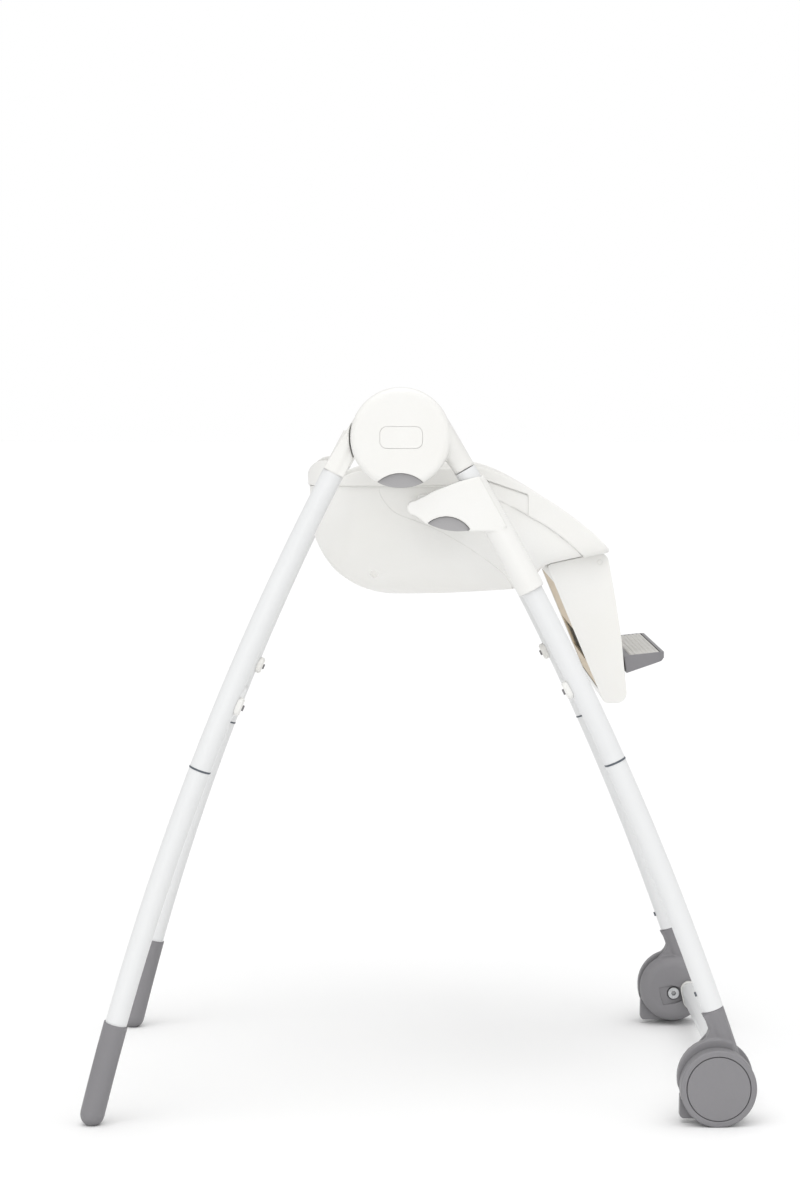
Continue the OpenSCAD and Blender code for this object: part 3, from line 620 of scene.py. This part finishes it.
def bucket_form():
    """Side profile, cross-section and plan intersected, then melted to large soft radii."""
    profile = ring((-21, 713), 108.5, 180, 270, 20)
    profile += [(-21, 604.5), (42, 606), (117, 611), (136, 617), (153, 642), (200, 652.5), (224, 657.5),
                (264, 666), (264, 840), (-129.5, 840)]
    cross = ring((-106, 668.5), CORNER, 180, 270, 14) + ring((106, 668.5), CORNER, 270, 360, 14)
    cross += [(170, 668.5), (170, 860), (-170, 860)]
    plan = ring((-65.5, 106), CORNER, 90, 180, 14) + ring((-65.5, -106), CORNER, 180, 270, 14)
    plan += [(-65.5, -170), (280, -170), (280, 170)]
    solid = slab(profile, -220, 220)
    solid = cut_mesh(solid, turned(slab(cross, -300, 400), SWAP_XY), how="INTERSECT")
    solid = cut_mesh(solid, turned(slab(plan, 500, 900), SWAP_YZ), how="INTERSECT")
    return remeshed([solid], 0.003, 34)


def joined(meshes):
    bm = bmesh.new()
    for me in meshes:
        bm.from_mesh(me)
    out = bpy.data.meshes.new("joined")
    bm.to_mesh(out)
    bm.free()
    return out


def seat_shell(wall):
    low = LOWER_SEAM + [(119, 560), (-220, 560), (-220, 736.6), (-44.2, 736.6)]
    front = [(100, 560), (100, 700), (150, 680), (200, 662), (SEAT_FRONT, 668), (SEAT_FRONT, 560)]
    lip = [(200.3, 560), (200.3, 662), (SEAT_FRONT, 668), (SEAT_FRONT, 560)]
    lug = [(216.5, 645), (217.3, 642), (219.2, 640), (221, 639.6), (222.8, 640), (224.7, 642), (225.5, 645),
           (225.5, 659.2), (216.5, 657.4)]
    zones = (slab(low, -200, 200), slab(front, -130, 130), slab(lip, -157.5, 157.5))
    shells = [cut_mesh(wall.copy(), zone, how="INTERSECT") for zone in zones]
    me = joined(shells + [side_slab(lug, 138, 143, side) for _, side in SIDES])
    drain = [(-51 + x * 1.25 + z * 0.5, 632 - x * 0.8 + z * 0.9) for x, z in ring((0, 0), 3.6, n=20)]
    for _, side in SIDES:
        me = cut_mesh(me, side_slab(drain, 100, 200, side))
    add("seat_shell_moulded", smooth_faces(me, 35), "seat", "white_plastic", "seat_shell")


def side_cover(wall, name, side):
    gap = 0.35
    zone = [(x, z - gap) for x, z in [(-43.6, 737)] + UPPER_SEAM] + [(200, 560), (120, 560)]
    zone += [(x + gap, z + 0.25) for x, z in LOWER_SEAM[::-1]]
    me = cut_mesh(wall.copy(), side_slab(zone, 130.4, 200, side), how="INTERSECT")
    add("side_cover_%s_moulded" % name, smooth_faces(me, 35), "seat", "white_plastic", "side_cover_" + name)


def rim_outline():
    """Rounded back corner, the dip behind the hub, the arm's top, and the seam underneath."""
    back = [(-200, 745), (-133, 745), (-131.8, 752), (-129, 758), (-124.5, 763), (-119, 766.4), (-112, 768),
            (-108, 767.8)]
    arm = curve([(-104, 766.5), (-97, 759), (-91, 750.5), (-85, 750), (-77, 753.5), (-60, 755.5), (0, 757),
                 (45, 759.5), (72, 760.5), (95, 754.5), (122.5, 742), (170, 713), (206, 686), (225, 668),
                 (SEAT_FRONT, 661)])
    nose = [(SEAT_FRONT, 659.4), (SEAT_FRONT, 640), (200.3, 640), (200.3, 652.9)]
    under = [(x, z + 0.35) for x, z in UPPER_SEAM[::-1][1:]]
    return back + arm + nose + under + [(-200, 737.4)]


def seat_rim(bucket):
    rim = cut_mesh(offset(bucket, 0.0022), offset(bucket, -0.0048))
    rim = cut_mesh(rim, slab(rim_outline(), -220, 220), how="INTERSECT")
    rim = remeshed([rim], 0.0012, 5)
    pocket = [(60, 733), (58, 748), (100, 739), (134, 726), (134, 702.5), (118, 711.5)]
    groove = [(84, 744.5), (133, 727.8), (132.6, 726.2), (83.6, 742.9)]
    for _, side in SIDES:
        rim = cut_mesh(rim, side_slab(pocket, 170.6, 180, side))
        rim = cut_mesh(rim, side_slab(groove, 169.8, 180, side))
    rim = cut_mesh(rim, slab([(150, 560), (150, 820), (270, 820), (270, 560)], -160, 160))
    add("seat_rim_moulded", smooth_faces(rim, 35), "seat", "white_plastic", "seat_rim")


bucket = bucket_form()
wall = cut_mesh(bucket.copy(), offset(bucket, -0.003))
seat_shell(wall)
for name, side in SIDES:
    side_cover(wall, name, side)
seat_rim(bucket)


# ---- Calf rest and footrest ----
def calf_panel():
    """Panel that closes the calf rest towards the rear, with its window."""
    panel = slab([(166.7, 620.6), (169.4, 620.6), (224.6, 487.3), (219.9, 492.1)], -146.8, 146.8)
    panel = cut_mesh(panel, slab([(150, 562), (230, 562), (230, 524), (180, 524)], -120, 120))
    # the panel's beige is painted shade on the calf rest's rear face
    add("calf_rest_panel", panel, "calf_rest", "beige_plastic", "calf_rest_back")


calf_panel()
moulded("footrest_pad", 0.7, 6, "footrest")

# Flush caps over the calf rest's hinge pins
PIN_CAP = [(0, 149.82), (3.04, 149.82), (3.04, 149.92), (2.6, 149.98), (0, 149.98)]
for name, side in SIDES:
    add("calf_pin_cap_" + name, lathe(PIN_CAP, CALF_PIVOT, side, 48), "calf_rest", "white_plastic")

# Rounded edges on the CAD nodes that stay, in metres
ROUND = {
    "hub_badges": 0.0004, "fold_button": 0.0012, "leg_button": 0.0008, "brake_lever": 0.0014,
    "wheel_left": 0.0016, "wheel_right": 0.0016, "wheel_cap": 0.0007, "crossbar_end_caps": 0.0008,
    "rear_foot": 0.0008, "height_button": 0.0012, "calf_rest_shell": 0.0024, "footrest": 0.0016,
    "leg_collars": 0.0003,
}
for name, obj in nodes.items():
    best = [k for k in ROUND if name.startswith(k)]
    if best and not obj.hide_render:
        soften(obj, ROUND[max(best, key=len)])
